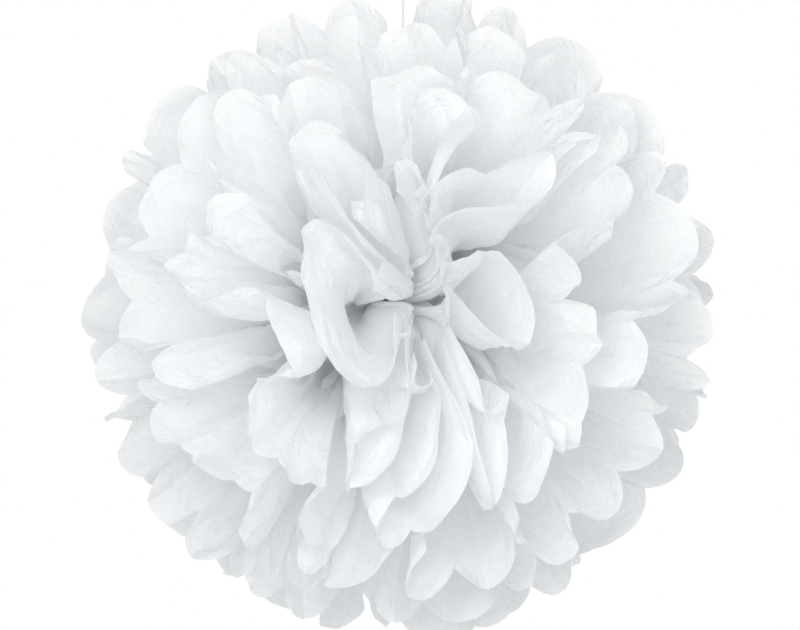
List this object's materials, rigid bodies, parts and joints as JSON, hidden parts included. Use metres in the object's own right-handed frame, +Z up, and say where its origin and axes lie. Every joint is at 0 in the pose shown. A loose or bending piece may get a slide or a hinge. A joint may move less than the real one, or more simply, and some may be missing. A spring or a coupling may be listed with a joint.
{
  "type": "tissue paper pom pom",
  "caption": "White tissue paper pom pom: pleated sheets tied at the middle and opened into a ball of round petals, hung by a thread with a loop.",
  "frame": {"origin": "where a hook bears, on the inside of the top of the hanging loop; the middle of the ball hangs straight below it", "axes": "+Z up along the thread; -Y out of the front flower, towards the viewer of the picture; +X to the viewer's right, across the folded strip's two fans"},
  "size_m": [0.2525, 0.2515, 0.3122],
  "materials": {
    "white_tissue": "matt tissue, slightly translucent",
    "white_thread": "matt twisted thread",
    "tie_wire": "plain drawn wire"
  },
  "bodies": {
    "root": {"tissue_sheet_01": "white_tissue", "tissue_sheet_02": "white_tissue", "tissue_sheet_03": "white_tissue", "tissue_sheet_04": "white_tissue", "tissue_sheet_05": "white_tissue", "tissue_sheet_06": "white_tissue", "tissue_sheet_07": "white_tissue", "tissue_sheet_08": "white_tissue", "wire_tie": "tie_wire", "thread_lower_knot": "white_thread", "hanging_thread": "white_thread", "loop_knot": "white_thread", "hanging_loop": "white_thread"}
  },
  "joints": []
}
